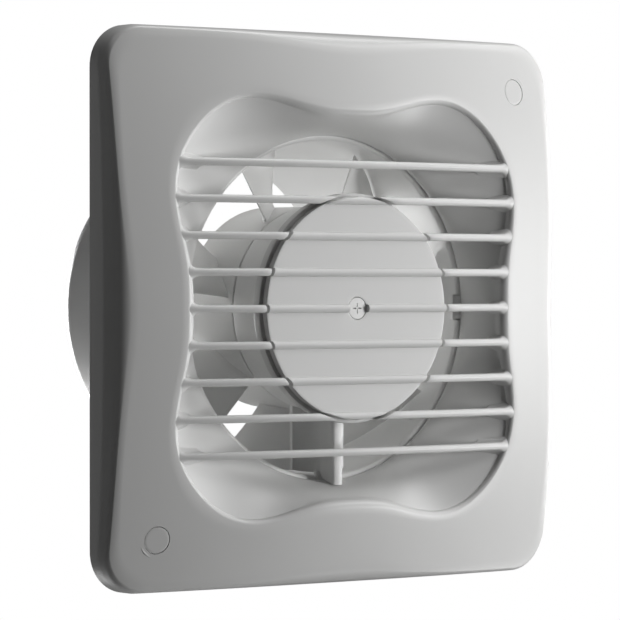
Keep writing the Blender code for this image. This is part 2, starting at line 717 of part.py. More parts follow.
def bearing_bridges():
    """Cast bridges across both ends of the core, each with a boss for the bush."""
    for name, face, away in (("front", CORE_FRONT, 1), ("rear", CORE_REAR, -1)):
        levels = [face + away * d * MM for d in (GAP / MM, 2.4, 4.3)]
        low, high = sorted(levels[1:])
        bridge = shape("bearing_bridge_" + name,
                       box_mesh("bridge", (-25.4 * MM, -4.5 * MM, low), (25.4 * MM, 4.5 * MM, high)))
        for sign in (1, -1):
            foot_low, foot_high = sorted((levels[0], levels[1] + away * 0.5 * MM))
            foot = cylinder_mesh("foot", 3.4 * MM, foot_low, foot_high, 20, (sign * MOTOR_SCREW_X, 0.0))
            join(bridge, shape("foot", foot))
        boss_low, boss_high = sorted((levels[1], face + away * 5.2 * MM))
        join(bridge, shape("boss", cylinder_mesh("boss", 6.5 * MM, boss_low, boss_high, 32)))
        drill(bridge, 4.6 * MM, -20 * MM, 20 * MM, segments=32)
        for sign in (1, -1):
            drill(bridge, 1.8 * MM, -20 * MM, 20 * MM, (sign * MOTOR_SCREW_X, 0.0), 16)
        place(bridge, "cast_aluminium")
        bush = tube("bearing_bush_" + name, 4.3 * MM, SHAFT_RADIUS + GAP, boss_low, boss_high, 32)
        place(bush, "bronze")


def motor_screws():
    head_rear = CORE_REAR - 4.6 * MM
    for name, sign in (("left", -1), ("right", 1)):
        screw = turned("motor_screw_" + name, [
            (0.0, 11.3 * MM), (0.6 * MM, 11.3 * MM), (1.5 * MM, 10.4 * MM), (1.5 * MM, head_rear),
            (2.7 * MM, head_rear), (2.7 * MM, head_rear - 1.6 * MM), (0.0, head_rear - 1.6 * MM)], 16)
        place(screw, "zinc_steel", (sign * MOTOR_SCREW_X, 0.0))


def shading_rings():
    """Copper loops let into one side of each pole shoe, in front of the core."""
    for name, sign in (("upper", 1), ("lower", -1)):
        ring = tube("shading_ring_" + name, 2.6 * MM, 1.6 * MM, CORE_FRONT + GAP, CORE_FRONT + 1.3 * MM, 20)
        place(ring, "copper", (sign * -5.4 * MM, sign * 13.2 * MM))


def rotor():
    core = tube("rotor_core", ROTOR_RADIUS, SHAFT_RADIUS + GAP, CORE_REAR, CORE_FRONT, 48)
    place(core, "electrical_steel")
    for name, face, away in (("front", CORE_FRONT, 1), ("rear", CORE_REAR, -1)):
        low, high = sorted((face + away * GAP, face + away * 2.0 * MM))
        place(tube("rotor_end_ring_" + name, 10.2 * MM, 6.8 * MM, low, high, 40), "cast_aluminium")
    shaft = turned("motor_shaft", [
        (0.0, 10.2 * MM), (1.5 * MM, 10.2 * MM), (SHAFT_RADIUS, 9.7 * MM), (SHAFT_RADIUS, -25.0 * MM),
        (1.5 * MM, -25.5 * MM), (0.0, -25.5 * MM)], 24)
    place(shaft, "zinc_steel")
    clip = tube("impeller_clip", 5.0 * MM, SHAFT_RADIUS + GAP, -24.0 * MM, -23.3 * MM, 24)
    place(clip, "zinc_steel")


# ---------------------------------------------------------------- impeller

def blade_mesh(angle):
    """One blade: sections at several radii, thin at both edges, turned about the axis with depth."""
    radii = [IMPELLER_HUB - 0.9 * MM, 32 * MM, 36 * MM, 42 * MM, IMPELLER_RADIUS]
    stations = 11
    bm = bmesh.new()
    rings = []
    for radius in radii:
        outward = (radius - radii[0]) / (radii[-1] - radii[0])
        sweep = BLADE_SWEEP_ROOT + (BLADE_SWEEP_TIP - BLADE_SWEEP_ROOT) * outward
        depth_front = BLADE_FRONT - 1.0 * MM * (1 - outward)
        depth_rear = BLADE_REAR + 4.5 * MM * (1 - outward)
        front, rear = [], []
        for i in range(stations):
            share = i / (stations - 1)
            z = depth_front + (depth_rear - depth_front) * share
            turn = angle - sweep * share ** 1.1
            half = (0.45 + 0.55 * math.sin(math.pi * share)) * BLADE_THICKNESS / 2
            # The thickness lies across the blade: part along the axis, part around it.
            pitch = math.atan2(sweep * radius, depth_front - depth_rear)
            around, along = half * math.cos(pitch) / radius, half * math.sin(pitch)
            front.append((radius, turn - around, z + along))
            rear.append((radius, turn + around, z - along))
        rings.append(front + rear[::-1])
    rows = [[bm.verts.new((r * math.cos(a), r * math.sin(a), z)) for r, a, z in ring] for ring in rings]
    count = len(rows[0])
    for row, following in zip(rows, rows[1:]):
        for i in range(count):
            j = (i + 1) % count
            bm.faces.new((row[i], row[j], following[j], following[i]))
    for row in (rows[0], rows[-1]):
        for i in range(stations - 1):
            bm.faces.new((row[i], row[i + 1], row[-2 - i], row[-1 - i]))
    bmesh.ops.triangulate(bm, faces=bm.faces)
    return mesh_from(bm, "blade")


def impeller():
    inner = IMPELLER_HUB - 1.6 * MM
    bore = SHAFT_RADIUS + GAP
    floor = IMPELLER_FLOOR + 1.8 * MM
    hub = turned("impeller", [
        (IMPELLER_HUB, IMPELLER_FRONT), (IMPELLER_HUB, IMPELLER_REAR), (inner, IMPELLER_REAR),
        (inner, IMPELLER_FLOOR), (5.5 * MM, IMPELLER_FLOOR), (5.5 * MM, -23.0 * MM), (bore, -23.0 * MM),
        (bore, floor + 1.2 * MM), (5.5 * MM, floor + 1.2 * MM), (5.5 * MM, floor),
        (inner - 2.0 * MM, floor), (inner, floor + 2.0 * MM), (inner, IMPELLER_FRONT)],
        HUB_STEPS_PER_BLADE * BLADES, closed=True)
    for i in range(BLADES):
        join(hub, shape("blade", blade_mesh(BLADE_START + 2 * math.pi * i / BLADES)))
    place(hub, "white_abs")


# ---------------------------------------------------------------- mains connection

def terminal_block():
    half_x, half_y = 7.0 * MM, 4.6 * MM
    low, high = PLATE_THICKNESS + GAP, 8.4 * MM
    block = shape("terminal_block", box_mesh("terminal_block", (BLOCK_X - half_x, BLOCK_Y - half_y, low),
                                             (BLOCK_X + half_x, BLOCK_Y + half_y, high)))
    for dx in (-3.3 * MM, 3.3 * MM):
        drill(block, 1.7 * MM, 5.2 * MM, 10 * MM, (BLOCK_X + dx, BLOCK_Y), 16)
        mouth = cylinder_mesh("wire_mouth", 1.3 * MM, -6 * MM, 6 * MM, 12)
        tool = shape("wire_mouth", mouth)
        tool.rotation_euler = (math.pi / 2, 0.0, 0.0)
        tool.location = (BLOCK_X + dx, BLOCK_Y, 4.6 * MM)
        cut(block, tool)
    place(block, "nylon")
    for name, dx in (("left", -3.3 * MM), ("right", 3.3 * MM)):
        cross_screw("terminal_screw_" + name, (BLOCK_X + dx, BLOCK_Y), 1.35 * MM, 8.0 * MM, 1.0 * MM,
                    1.0 * MM, 6.1 * MM)


def cable_clamp():
    low, high = PLATE_THICKNESS + 2.6 * MM, PLATE_THICKNESS + 4.4 * MM
    clamp = shape("cable_clamp", box_mesh("cable_clamp", (CLAMP_X - 2.2 * MM, CLAMP_Y - 7.0 * MM, low),
                                          (CLAMP_X + 2.2 * MM, CLAMP_Y + 7.0 * MM, high)))
    for dy in (-4.8 * MM, 4.8 * MM):
        foot_at = (CLAMP_X, CLAMP_Y + dy)
        foot = cylinder_mesh("foot", 2.1 * MM, PLATE_THICKNESS + GAP, low + 0.5 * MM, 16, foot_at)
        join(clamp, shape("foot", foot))
        drill(clamp, 1.3 * MM, 0.0, 12 * MM, (CLAMP_X, CLAMP_Y + dy), 12)
    place(clamp, "nylon")
    for name, dy in (("upper", 4.8 * MM), ("lower", -4.8 * MM)):
        cross_screw("clamp_screw_" + name, (CLAMP_X, CLAMP_Y + dy), 1.9 * MM, high + GAP + 1.2 * MM,
                    1.2 * MM, 1.0 * MM, 0.8 * MM)


def cable_grommet():
    hole = 4.8 * MM - GAP
    flange = hole + 1.6 * MM
    front = PLATE_THICKNESS + GAP
    grommet = turned("cable_grommet", [
        (flange, front + 1.2 * MM), (flange, front), (hole, front), (hole, 0.2 * MM),
        (3.0 * MM, 0.2 * MM), (3.0 * MM, front + 1.2 * MM)], 32, closed=True)
    place(grommet, "black_rubber", (GROMMET_X, GROMMET_Y))


# ---------------------------------------------------------------- build

front_cover()
louvre_grille()
centre_disc()
cover_fasteners()
rear_housing()
wall_seal()
motor_bracket()
bracket_screws()
stator_core()
coils()
bearing_bridges()
motor_screws()
shading_rings()
rotor()
impeller()
terminal_block()
cable_clamp()
cable_grommet()
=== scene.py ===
"""Bathroom extractor fan: the looks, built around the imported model.

Lengths are in metres. The fan's axis is Y: the front faces -Y, the duct spigot
points along +Y, and the wall plane is at Y = 0. A height below is the distance in
front of the wall, so it is -Y.
"""

import math

import bmesh
import bpy
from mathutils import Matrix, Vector


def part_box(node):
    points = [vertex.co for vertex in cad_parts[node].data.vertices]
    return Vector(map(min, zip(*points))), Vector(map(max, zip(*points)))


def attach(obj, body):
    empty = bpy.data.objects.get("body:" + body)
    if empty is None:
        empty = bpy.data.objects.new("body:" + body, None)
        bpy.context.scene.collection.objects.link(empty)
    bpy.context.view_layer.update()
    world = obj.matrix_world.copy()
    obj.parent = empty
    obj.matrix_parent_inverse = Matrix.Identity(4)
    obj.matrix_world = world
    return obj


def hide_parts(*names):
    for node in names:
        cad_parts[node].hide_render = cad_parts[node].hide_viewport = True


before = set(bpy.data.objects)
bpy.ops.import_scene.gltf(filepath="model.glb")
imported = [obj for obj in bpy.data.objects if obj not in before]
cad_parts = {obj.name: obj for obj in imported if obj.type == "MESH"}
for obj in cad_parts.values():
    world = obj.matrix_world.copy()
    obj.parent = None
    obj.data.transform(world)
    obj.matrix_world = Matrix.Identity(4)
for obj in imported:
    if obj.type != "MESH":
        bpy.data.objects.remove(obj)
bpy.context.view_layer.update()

MM = 0.001

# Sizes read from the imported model
COVER_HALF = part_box("front_cover")[1].x
DISC_RADIUS = (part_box("centre_disc")[1].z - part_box("centre_disc")[0].z) / 2 - 0.05 * MM
CAP_AT = sum((corner.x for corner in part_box("screw_cap_upper")), 0.0) / 2
SPIGOT_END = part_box("rear_housing")[1].y
BAR_LEVELS = [(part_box("louvre_bar_top")[0].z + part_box("louvre_bar_top")[1].z) / 2 * k / 4
              for k in range(-4, 5)]

# Cover form, as in the solid model
COVER_CORNER = 12.0 * MM
COVER_WALL = 1.8 * MM
RIM_HEIGHT = 0.5 * MM
DOME_TOP = 21.8 * MM
DOME_CURVE = 1.177
THROAT_RADIUS = 50.3 * MM
THROAT_HEIGHT = 4.6 * MM
HUB_PLATE_RADIUS = 33.3 * MM
HUB_PLATE_TOP = 17.05 * MM
CAP_RADIUS = 3.78 * MM
CAP_POCKET = 3.93 * MM

# Places round the axis, in radians from 3 o'clock, that the bracket's feet stand on
RIGHT, LEFT, BOTTOM = 0.0, math.pi, 1.5 * math.pi
FEET = (RIGHT, LEFT, BOTTOM)


# ---------------------------------------------------------------- camera and light

def look_from(position, target):
    """Turn that makes an object's -Z point from position to target."""
    return (Vector(target) - Vector(position)).to_track_quat("-Z", "Y").to_euler()


def add_camera():
    """A long lens about a metre away, level with the fan and 36 degrees to its left."""
    position = (-618.2 * MM, -833.3 * MM, 7.3 * MM)
    target = (-2.1 * MM, 0.9 * MM, -0.6 * MM)
    bpy.ops.object.camera_add(location=position, rotation=look_from(position, target))
    camera = bpy.context.object
    camera.data.lens = 205.4
    camera.data.sensor_width = 36.0
    camera.data.clip_start = 0.05
    bpy.context.scene.camera = camera


def add_softbox(name, position, target, size, watts):
    bpy.ops.object.light_add(type="AREA", location=position, rotation=look_from(position, target))
    light = bpy.context.object
    light.name = name
    light.data.shape = "RECTANGLE"
    light.data.size, light.data.size_y = size
    light.data.energy = watts
    light.visible_camera = False


def add_studio():
    """Softboxes round the fan, most of them to its right, in a white surround that hardly lights it."""
    reach, size = 1.3, (0.45, 0.45)
    rig = [  # name, degrees to the right of the fan's front, degrees above level, watts
        ("key_softbox", 50, 0, 8.0),
        ("upper_key_softbox", 50, 35, 3.3),
        ("upper_side_softbox", 70, 35, 2.8),
        ("lower_side_softbox", 70, -35, 3.3),
        ("side_softbox", 86, 0, 6.0),
        ("top_side_softbox", 80, 65, 6.0),
        ("left_top_softbox", -75, 65, 1.4),
        ("rear_softbox", 180, 0, 8.0),
        ("low_rear_softbox", -165, -40, 2.0),
    ]
    for name, azimuth, elevation, watts in rig:
        a, e = math.radians(azimuth), math.radians(elevation)
        position = (reach * math.sin(a) * math.cos(e), -reach * math.cos(a) * math.cos(e),
                    reach * math.sin(e))
        add_softbox(name, position, (0.0, 0.0, 0.0), size, watts)
    world = bpy.data.worlds.new("white_studio")
    bpy.context.scene.world = world
    world.use_nodes = True
    tree = world.node_tree
    background = tree.nodes["Background"]
    paths = tree.nodes.new("ShaderNodeLightPath")
    seen = tree.nodes.new("ShaderNodeMapRange")
    seen.inputs["To Min"].default_value = 0.005
    seen.inputs["To Max"].default_value = 1.0
    tree.links.new(paths.outputs["Is Camera Ray"], seen.inputs["Value"])
    tree.links.new(seen.outputs["Result"], background.inputs["Strength"])
    background.inputs["Color"].default_value = (1.0, 1.0, 1.0, 1.0)
    bpy.context.scene.view_settings.view_transform = "Standard"


def add_duct_light():
    """A small softbox just behind the open end of the spigot, which lights the duct's upper wall."""
    position = (-0.03, SPIGOT_END + 0.07, -0.05)
    upper_wall = (0.01, 0.02, 0.045)
    add_softbox("duct_softbox", position, upper_wall, (0.06, 0.06), 0.06)


# ---------------------------------------------------------------- materials

def linear(code):
    """Linear colour of an sRGB hex value such as 'F2F2F0'."""
    values = [int(code[i:i + 2], 16) / 255 for i in (0, 2, 4)]
    return tuple(v / 12.92 if v <= 0.04045 else ((v + 0.055) / 1.055) ** 2.4 for v in values) + (1.0,)


def add_node(material, kind, settings=None, inputs=None):
    """Adds a node with its settings; an input is a value, or another node's output to link."""
    tree = material.node_tree
    node = tree.nodes.new(kind)
    for key, value in (settings or {}).items():
        setattr(node, key, value)
    for key, value in (inputs or {}).items():
        if isinstance(value, bpy.types.NodeSocket):
            tree.links.new(value, node.inputs[key])
        else:
            node.inputs[key].default_value = value
    return node


def shader_of(material):
    return material.node_tree.nodes["Principled BSDF"]


def new_finish(name, **sockets):
    """A Principled material; its constants go straight onto the shader's sockets."""
    material = bpy.data.materials.new(name)
    material.use_nodes = True
    shader = shader_of(material)
    for key, value in sockets.items():
        shader.inputs[key.replace("_", " ")].default_value = value
    return material


def moulded_plastic(name, light, dark, roughness, ior, grain, grain_depth):
    """Moulded thermoplastic: a fine eroded grain, slow sink marks and a faint unevenness of tone."""
    material = new_finish(name, IOR=ior)
    tree = material.node_tree
    shader = shader_of(material)
    place = add_node(material, "ShaderNodeTexCoord").outputs["Object"]
    slow = add_node(material, "ShaderNodeTexNoise", inputs={"Vector": place, "Scale": 38.0, "Detail": 2.0})
    tone = add_node(material, "ShaderNodeMix", {"data_type": "RGBA"},
                    {"Factor": slow.outputs["Fac"], 6: linear(dark), 7: linear(light)})
    fine = add_node(material, "ShaderNodeTexNoise",
                    inputs={"Vector": place, "Scale": 1 / grain, "Detail": 1.0, "Roughness": 0.5})
    gloss = add_node(material, "ShaderNodeMapRange",
                     inputs={"Value": slow.outputs["Fac"], "To Min": roughness - 0.03,
                             "To Max": roughness + 0.03})
    bump = add_node(material, "ShaderNodeBump",
                    inputs={"Height": fine.outputs["Fac"], "Strength": 0.35, "Distance": grain_depth})
    tree.links.new(tone.outputs[2], shader.inputs["Base Color"])
    tree.links.new(gloss.outputs["Result"], shader.inputs["Roughness"])
    tree.links.new(bump.outputs["Normal"], shader.inputs["Normal"])
    return material


def cover_abs():
    """White ABS moulded in a lightly eroded tool: a silky surface that shows soft, wide highlights. Its tone
    is set darker than the inner mouldings' as painted shade, which cuts the light bounced into the gaps round
    the disc.
    """
    return moulded_plastic("white_abs_satin_painted_shade", "DEDEDD", "DADAD9", 0.36, 1.53, 0.45 * MM, 0.010 * MM)


def inner_abs():
    """White ABS with the toolmaker's plain finish: a little glossier and less even. Its tone is set lighter
    than the cover's as painted light, so that the blades and the duct read bright.
    """
    return moulded_plastic("white_abs_plain_painted_light", "F2F2F1", "EDEDEC", 0.30, 1.53, 0.8 * MM, 0.012 * MM)


def metal(name, light, dark, roughness, spread, scale, bump_size, bump_depth):
    """A bare metal: its tone and polish vary slowly, over a fine surface texture."""
    material = new_finish(name, Metallic=1.0)
    tree = material.node_tree
    shader = shader_of(material)
    place = add_node(material, "ShaderNodeTexCoord").outputs["Object"]
    slow = add_node(material, "ShaderNodeTexNoise", inputs={"Vector": place, "Scale": scale, "Detail": 3.0})
    tone = add_node(material, "ShaderNodeMix", {"data_type": "RGBA"},
                    {"Factor": slow.outputs["Fac"], 6: linear(dark), 7: linear(light)})
    gloss = add_node(material, "ShaderNodeMapRange",
                     inputs={"Value": slow.outputs["Fac"], "To Min": roughness + spread,
                             "To Max": roughness - spread})
    fine = add_node(material, "ShaderNodeTexNoise",
                    inputs={"Vector": place, "Scale": 1 / bump_size, "Detail": 2.0})
    bump = add_node(material, "ShaderNodeBump",
                    inputs={"Height": fine.outputs["Fac"], "Strength": 0.5, "Distance": bump_depth})
    tree.links.new(tone.outputs[2], shader.inputs["Base Color"])
    tree.links.new(gloss.outputs["Result"], shader.inputs["Roughness"])
    tree.links.new(bump.outputs["Normal"], shader.inputs["Normal"])
    return material


def zinc_plate():
    """Bright zinc plate on steel screws and the shaft: a cool, slightly cloudy shine."""
    return metal("zinc_plated_steel", "C9CCCF", "AEB2B6", 0.28, 0.06, 400.0, 0.3 * MM, 0.004 * MM)


def cast_aluminium():
    """Die-cast aluminium, as cast: light grey, matt, with a fine pebbled skin."""
    return metal("die_cast_aluminium", "C4C5C6", "A9ABAD", 0.46, 0.05, 260.0, 0.35 * MM, 0.02 * MM)


def sintered_bronze():
    """Oil-filled sintered bronze bush: dull brown-gold with open pores, darkened by the oil."""
    return metal("sintered_bronze", "B18A55", "7A5C38", 0.5, 0.08, 900.0, 0.15 * MM, 0.03 * MM)


def banded_metal(name, light, seam, roughness, pitch, direction, depth):
    """Metal laid up in even layers, with a narrow dark line where two layers meet."""
    material = new_finish(name, Metallic=1.0)
    tree = material.node_tree
    shader = shader_of(material)
    place = add_node(material, "ShaderNodeTexCoord").outputs["Object"]
    # The wave repeats every 0.314 units of its scaled coordinate.
    wave = add_node(material, "ShaderNodeTexWave", {"bands_direction": direction},
                    {"Vector": place, "Scale": 0.314 / pitch, "Distortion": 0.4, "Detail": 1.0})
    layer = add_node(material, "ShaderNodeMapRange",
                     inputs={"Value": wave.outputs["Fac"], "From Min": 0.05, "From Max": 0.45})
    tone = add_node(material, "ShaderNodeMix", {"data_type": "RGBA"},
                    {"Factor": layer.outputs["Result"], 6: linear(seam), 7: linear(light)})
    gloss = add_node(material, "ShaderNodeMapRange",
                     inputs={"Value": layer.outputs["Result"],
                             "To Min": roughness + 0.2, "To Max": roughness})
    bump = add_node(material, "ShaderNodeBump",
                    inputs={"Height": layer.outputs["Result"], "Strength": 0.7, "Distance": depth})
    tree.links.new(tone.outputs[2], shader.inputs["Base Color"])
    tree.links.new(gloss.outputs["Result"], shader.inputs["Roughness"])
    tree.links.new(bump.outputs["Normal"], shader.inputs["Normal"])
    return material


def core_steel():
    """Stacked 0.5 mm silicon-steel sheets: grey-blue edges with a dark seam between sheets."""
    return banded_metal("laminated_silicon_steel", "8A8E94", "3E4145", 0.42, 0.5 * MM, "Y", 0.03 * MM)


def enamelled_wire():
    """Layers of enamelled copper wire, drawn as 0.4 mm wire so that the turns show: reddish amber shine."""
    return banded_metal("enamelled_copper_wire", "C4703A", "5E2A14", 0.24, 0.4 * MM, "Z", 0.10 * MM)


def bare_copper():
    """Bare copper strip of the shading rings: salmon red, a little tarnished."""
    return metal("bare_copper", "C97F58", "9A5636", 0.33, 0.08, 500.0, 0.3 * MM, 0.004 * MM)


def natural_nylon():
    """Unpainted nylon: a milky ivory that lets a little light in, slightly waxy."""
    material = moulded_plastic("natural_nylon", "E9E4D6", "DED7C5", 0.42, 1.53, 0.5 * MM, 0.010 * MM)
    shader = shader_of(material)
    shader.inputs["Subsurface Weight"].default_value = 0.15
    shader.inputs["Subsurface Radius"].default_value = (0.8, 0.7, 0.5)
    shader.inputs["Subsurface Scale"].default_value = 1.0 * MM
    return material


def grommet_rubber():
    """Black moulded rubber: near black with a grey bloom, dull."""
    return moulded_plastic("black_moulded_rubber", "2A2A2B", "161617", 0.62, 1.52, 0.4 * MM, 0.015 * MM)


def seal_foam():
    """Closed-cell polyethylene foam: charcoal, matt, with cells about 0.8 mm across."""
    material = new_finish("closed_cell_foam", Roughness=0.95, IOR=1.45)
    tree = material.node_tree
    shader = shader_of(material)
    place = add_node(material, "ShaderNodeTexCoord").outputs["Object"]
    cells = add_node(material, "ShaderNodeTexVoronoi", inputs={"Vector": place, "Scale": 1 / (0.8 * MM)})
    tone = add_node(material, "ShaderNodeMix", {"data_type": "RGBA"},
                    {"Factor": cells.outputs["Distance"], 6: linear("3A3A3B"), 7: linear("232324")})
    bump = add_node(material, "ShaderNodeBump",
                    inputs={"Height": cells.outputs["Distance"], "Strength": 0.6, "Distance": 0.15 * MM})
    tree.links.new(tone.outputs[2], shader.inputs["Base Color"])
    tree.links.new(bump.outputs["Normal"], shader.inputs["Normal"])
    return material


def painted_steel():
    """White lacquer on a steel screw head: smooth, a shade brighter than the plastic round it."""
    return moulded_plastic("white_lacquered_steel", "F4F4F3", "EFEFEE", 0.28, 1.52, 1.2 * MM, 0.006 * MM)


def pale_floor():
    """Plain studio floor below the fan, matt and pale, in an even paper-like grain."""
    deselect()
    bpy.ops.mesh.primitive_plane_add(size=4.0, location=(0.0, 0.0, -1.6))
    floor = bpy.context.object
    floor.name = "floor"
    paper = moulded_plastic("matt_white_floor", "EDEDED", "E8E8E8", 0.8, 1.45, 2 * MM, 0.02 * MM)
    floor.data.materials.append(paper)


def dress(nodes, material):
    """Gives CAD pieces that stay on show their finish."""
    for node in nodes:
        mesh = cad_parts[node].data
        mesh.materials.clear()
        mesh.materials.append(material)


# ---------------------------------------------------------------- modelling steps

def deselect():
    if bpy.context.object and bpy.context.object.mode != "OBJECT":
        bpy.ops.object.mode_set(mode="OBJECT")
    bpy.ops.object.select_all(action="DESELECT")


def take(obj):
    deselect()
    bpy.context.view_layer.objects.active = obj
    obj.select_set(True)
    return obj


def drawn(name, rows, closed=False, cap=False):
    """A ring of edges extruded from row to row, each row a ring of points.
    Closed joins the last row to the first, and cap fills the first and the last."""
    deselect()
    count = len(rows[0])
    bpy.ops.mesh.primitive_circle_add(vertices=count, radius=1.0)
    obj = bpy.context.object
    obj.name = name
    obj.data.name = name
    bpy.ops.object.mode_set(mode="EDIT")
    bpy.ops.mesh.select_all(action="SELECT")
    bm = bmesh.from_edit_mesh(obj.data)
    order = bm.verts.layers.int.new("order")
    for number, vert in enumerate(bm.verts):
        vert[order] = number
    for step, row in enumerate(rows + (rows[:1] if closed else [])):
        if step:
            bpy.ops.mesh.extrude_edges_move()
            bm = bmesh.from_edit_mesh(obj.data)
            order = bm.verts.layers.int["order"]
        elif cap:
            bpy.ops.mesh.edge_face_add()
            bm = bmesh.from_edit_mesh(obj.data)
            order = bm.verts.layers.int["order"]
        for vert in bm.verts:
            if vert.select:
                vert.co = row[vert[order]]
        bmesh.update_edit_mesh(obj.data)
    if cap:
        bpy.ops.mesh.edge_face_add()
    bpy.ops.mesh.select_all(action="SELECT")
    bpy.ops.mesh.remove_doubles(threshold=0.002 * MM)
    bpy.ops.mesh.normals_make_consistent(inside=False)
    bpy.ops.object.mode_set(mode="OBJECT")
    obj.data.attributes.remove(obj.data.attributes["order"])
    return obj


def turned(name, profile, segments=128, centre=(0.0, 0.0), closed=True):
    """A profile of (radius, height) turned about the fan's axis, or about a line beside it."""
    angles = [2 * math.pi * i / segments for i in range(segments)]
    rows = [[(centre[0] + r * math.cos(a), -h, centre[1] + r * math.sin(a)) for a in angles]
            for r, h in profile]
    return drawn(name, rows, closed=closed, cap=not closed)


def softened(points, radius, steps=4, closed=True):
    """The outline with each corner rounded to about this radius."""
    smooth = []
    count = len(points)
    for i, here in enumerate(points):
        if not closed and i in (0, count - 1):
            smooth.append(here)
            continue
        here = Vector(here)
        before, after = Vector(points[i - 1]), Vector(points[(i + 1) % count])
        cut = min(radius, 0.45 * (before - here).length, 0.45 * (after - here).length)
        start = here + (before - here).normalized() * cut
        end = here + (after - here).normalized() * cut
        for step in range(steps + 1):
            t = step / steps
            smooth.append(tuple((1 - t) ** 2 * start + 2 * t * (1 - t) * here + t ** 2 * end))
    return smooth


def rounded(points, sizes, steps=5):
    """The closed outline with each corner rounded to its own radius, or left sharp where that is 0."""
    smooth = []
    for i, (point, size) in enumerate(zip(points, sizes)):
        corner = [points[i - 1], point, points[(i + 1) % len(points)]]
        smooth += softened(corner, size, steps, closed=False)[1:-1] if size else [point]
    return smooth


def swung(obj, angle, centre=(0.0, 0.0)):
    """Turns a piece about the fan's axis, moves it to a line beside the axis, and fixes it there."""
    obj.rotation_euler = (0.0, angle, 0.0)
    obj.location = (centre[0], 0.0, centre[1])
    take(obj)
    bpy.ops.object.transform_apply(location=True, rotation=True, scale=True)
    return obj


def joined(name, pieces):
    deselect()
    for piece in pieces:
        piece.select_set(True)
    bpy.context.view_layer.objects.active = pieces[0]
    bpy.ops.object.join()
    pieces[0].name = name
    pieces[0].data.name = name
    return pieces[0]


def combine(obj, tool, operation):
    """Boolean of a piece with a tool, which is used up."""
    take(obj)
    modifier = obj.modifiers.new("combine", "BOOLEAN")
    modifier.operation = operation
    modifier.solver = "EXACT"
    modifier.object = tool
    bpy.ops.object.modifier_apply(modifier=modifier.name)
    bpy.data.objects.remove(tool, do_unlink=True)


def bar_of(low, high):
    """A block between two corners."""
    deselect()
    middle = [(a + b) / 2 for a, b in zip(low, high)]
    bpy.ops.mesh.primitive_cube_add(size=1.0, location=middle, scale=[b - a for a, b in zip(low, high)])
    bpy.ops.object.transform_apply(location=True, rotation=True, scale=True)
    return bpy.context.object


def rod(radius, low, high, centre=(0.0, 0.0), vertices=48):
    """A cylinder on the fan's axis direction between two heights."""
    deselect()
    bpy.ops.mesh.primitive_cylinder_add(vertices=vertices, radius=radius, depth=high - low,
                                        location=(centre[0], -(low + high) / 2, centre[1]),
                                        rotation=(math.pi / 2, 0.0, 0.0))
    bpy.ops.object.transform_apply(location=True, rotation=True, scale=True)
    return bpy.context.object


def bevelled(obj, width, segments=3, angle=35):
    take(obj)
    modifier = obj.modifiers.new("edge", "BEVEL")
    modifier.width = width
    modifier.segments = segments
    modifier.limit_method = "ANGLE"
    modifier.angle_limit = math.radians(angle)
    modifier.use_clamp_overlap = True
    bpy.ops.object.modifier_apply(modifier=modifier.name)
    return obj


def finish_piece(obj, material, body, nodes, angle=32):
    take(obj)
    bpy.ops.object.transform_apply(location=True, rotation=True, scale=True)
    bpy.ops.object.shade_smooth_by_angle(angle=math.radians(angle))
    obj.data.materials.clear()
    obj.data.materials.append(material)
    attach(obj, body)
    if nodes:
        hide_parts(*nodes)
    return obj


# ---------------------------------------------------------------- cover moulding

def dome(x, z):
    return DOME_TOP - DOME_CURVE * (x * x + z * z)


def rounded_square(angle, half, corner):
    c, s = abs(math.cos(angle)), abs(math.sin(angle))
    straight = half / max(c, s)
    centre = half - corner
    if straight * min(c, s) <= centre:
        return straight
    along = centre * (c + s)
    return along + math.sqrt(along * along - 2 * centre * centre + corner * corner)


def opening(angle):
    """Radius of the wavy opening: widest at four lobes on the diagonals, narrowest at four waists."""
    return (66.08 - 8.72 * math.cos(4 * angle) + 0.13 * math.cos(8 * angle) + 0.5 * math.cos(12 * angle)) * MM


def lip_width(angle):
    """Width of the rounded lip, narrower at the lobes."""
    lobe = (1 - math.cos(4 * angle)) / 2
    return (3.0 - 1.6 * lobe) * MM


def bent(start, control, end, steps):
    """Points of a curve that leaves start towards control and reaches end from it."""
    points = []
    for step in range(1, steps + 1):
        t = step / steps
        points.append(tuple((1 - t) ** 2 * a + 2 * t * (1 - t) * b + t * t * c
                            for a, b, c in zip(start, control, end)))
    return points


def funnel_start(angle):
    start = opening(angle) - lip_width(angle)
    return start, dome(start, 0.0) - lip_width(angle)


def funnel_radius(angle, height):
    """Radius of the funnel's surface at this height, up to the cover's face."""
    lip = opening(angle)
    edge = (lip, dome(lip, 0.0))
    path = [edge] + bent(edge, (lip - 0.8 * lip_width(angle), edge[1]), funnel_start(angle), 6)
    path += funnel_path(angle, 14)
    for (r1, h1), (r2, h2) in zip(path, path[1:]):
        if h2 <= height <= h1:
            return r2 + (r1 - r2) * (height - h2) / max(h1 - h2, 1e-9)
    return lip if height > path[0][1] else THROAT_RADIUS


def funnel_path(angle, steps):
    start = funnel_start(angle)
    turn = THROAT_HEIGHT + 0.35 * (start[1] - THROAT_HEIGHT)
    return bent(start, (THROAT_RADIUS, turn), (THROAT_RADIUS, THROAT_HEIGHT), steps)


